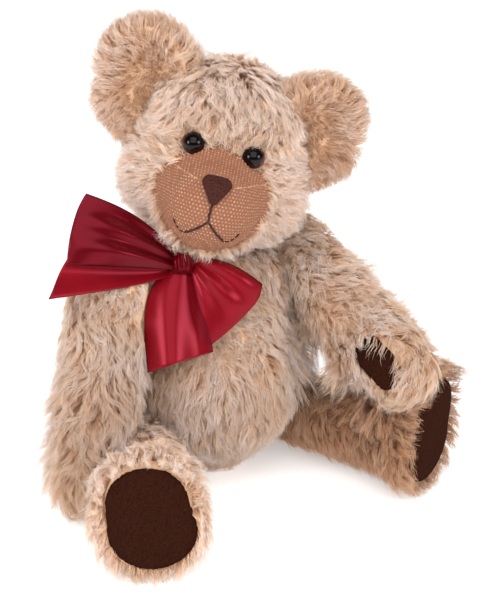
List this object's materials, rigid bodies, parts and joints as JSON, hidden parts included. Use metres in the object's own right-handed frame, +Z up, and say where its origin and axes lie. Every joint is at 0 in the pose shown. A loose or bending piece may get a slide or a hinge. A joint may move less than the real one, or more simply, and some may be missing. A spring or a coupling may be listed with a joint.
{
  "type": "jointed teddy bear",
  "caption": "Seated mohair teddy bear with disc joints at neck, shoulders and hips, glass eyes, suede pads and a satin bow; the head, arms and legs turn.",
  "frame": {"origin": "on the floor under the torso, in the middle of its flat seat", "axes": "-Y is the way the torso faces, +X the bear's own left, +Z up; -Z is the seat's outward normal"},
  "size_m": [0.2122, 0.1587, 0.2439],
  "materials": {
    "mohair_cream": "long wavy pile",
    "mohair_brown": "long curly pile, darker",
    "mohair_ear": "shorter pile",
    "muzzle_cloth": "ribbed knit",
    "nose_felt": "matte felt",
    "thread": "waxed thread",
    "eye_glass": "polished, near black with an amber rim",
    "suede": "napped",
    "satin": "woven satin",
    "stuffing": "soft wadding",
    "joint_board": "pressed fibreboard",
    "joint_steel": "zinc plated",
    "eye_washer": "moulded"
  },
  "bodies": {
    "torso": {"torso_skin": "mohair_cream", "torso_stuffing": "stuffing", "neck_disc_body": "joint_board", "right_shoulder_disc_body": "joint_board", "left_shoulder_disc_body": "joint_board", "right_hip_disc_body": "joint_board", "left_hip_disc_body": "joint_board", "joint_washers_body": "joint_steel", "ribbon_neckband": "satin", "bow_knot": "satin", "bow_loop_right": "satin", "bow_loop_left": "satin", "bow_tail_right": "satin", "bow_tail_left": "satin"},
    "head": {"head_skin": "mohair_cream", "head_stuffing": "stuffing", "muzzle_skin": "muzzle_cloth", "muzzle_stuffing": "stuffing", "nose": "nose_felt", "mouth_stitches": "thread", "eye_right": "eye_glass", "eye_left": "eye_glass", "eye_washers": "eye_washer", "ear_right": "mohair_ear", "ear_left": "mohair_ear", "neck_disc_head": "joint_board", "neck_washer_head": "joint_steel", "neck_bolt": "joint_steel", "neck_locknut": "joint_steel"},
    "right_arm": {"right_arm_skin": "mohair_cream", "right_paw_pad": "suede", "right_arm_stuffing": "stuffing", "right_arm_disc": "joint_board", "right_arm_washer": "joint_steel", "right_arm_bolt": "joint_steel", "right_arm_locknut": "joint_steel"},
    "left_arm": {"left_arm_skin": "mohair_cream", "left_paw_pad": "suede", "left_arm_stuffing": "stuffing", "left_arm_disc": "joint_board", "left_arm_washer": "joint_steel", "left_arm_bolt": "joint_steel", "left_arm_locknut": "joint_steel"},
    "right_leg": {"right_leg_skin": "mohair_brown", "right_foot_pad": "suede", "right_leg_stuffing": "stuffing", "right_leg_disc": "joint_board", "right_leg_washer": "joint_steel", "right_leg_bolt": "joint_steel", "right_leg_locknut": "joint_steel"},
    "left_leg": {"left_leg_skin": "mohair_brown", "left_foot_pad": "suede", "left_leg_stuffing": "stuffing", "left_leg_disc": "joint_board", "left_leg_washer": "joint_steel", "left_leg_bolt": "joint_steel", "left_leg_locknut": "joint_steel"}
  },
  "joints": [
    {"name": "neck_turn", "type": "hinge", "parent": "torso", "child": "head", "pos_m": [0, 0.02075, 0.13224], "axis": [0.1356, -0.225, 0.9649], "range_deg": [-5, 180]},
    {"name": "right_shoulder", "type": "hinge", "parent": "torso", "child": "right_arm", "pos_m": [-0.052, 0.0097, 0.1119], "axis": [-0.9455, 0, 0.3256], "range_deg": [-110, 0]},
    {"name": "left_shoulder", "type": "hinge", "parent": "torso", "child": "left_arm", "pos_m": [0.052, 0.0097, 0.1119], "axis": [-0.9455, 0, -0.3256], "range_deg": [0, 50]},
    {"name": "right_hip", "type": "hinge", "parent": "torso", "child": "right_leg", "pos_m": [-0.02247, 0.00796, 0.025], "axis": [0.8988, -0.4384, 0], "range_deg": [0, 100]},
    {"name": "left_hip", "type": "hinge", "parent": "torso", "child": "left_leg", "pos_m": [0.02247, 0.00796, 0.025], "axis": [0.8988, 0.4384, 0], "range_deg": [0, 100]}
  ]
}
